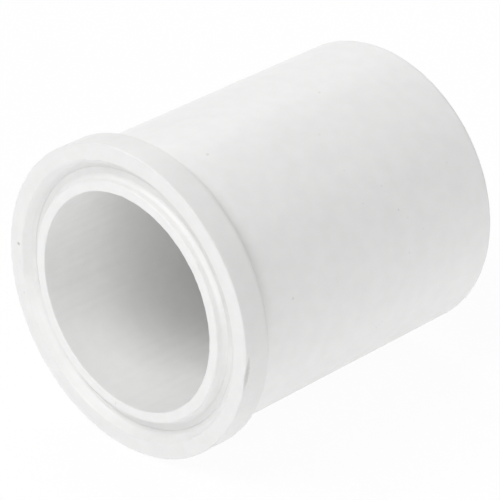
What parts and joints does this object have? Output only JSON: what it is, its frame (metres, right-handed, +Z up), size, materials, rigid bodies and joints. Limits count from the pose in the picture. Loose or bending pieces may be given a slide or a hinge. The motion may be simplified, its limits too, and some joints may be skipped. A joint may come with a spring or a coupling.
{
  "type": "flanged union tailpiece",
  "caption": "Round white PVC pipe reducer with a plain spigot, an inner pipe socket and a flanged end with a face-seal groove.",
  "frame": {"origin": "centre of the bore in the plane of the seal face", "axes": "+Y along the bore from the seal face to the spigot's end, +Z up with the fitting lying on its side, +X to the right seen from the seal face"},
  "size_m": [0.0646, 0.0728, 0.0646],
  "materials": {
    "spigot_pvc": "satin moulded white",
    "flange_pvc": "satin moulded white, seal face smoother",
    "bore_pvc": "satin moulded white"
  },
  "bodies": {
    "root": {"barrel": "spigot_pvc", "flange_collar": "flange_pvc", "bore_sleeve": "bore_pvc"}
  },
  "joints": []
}
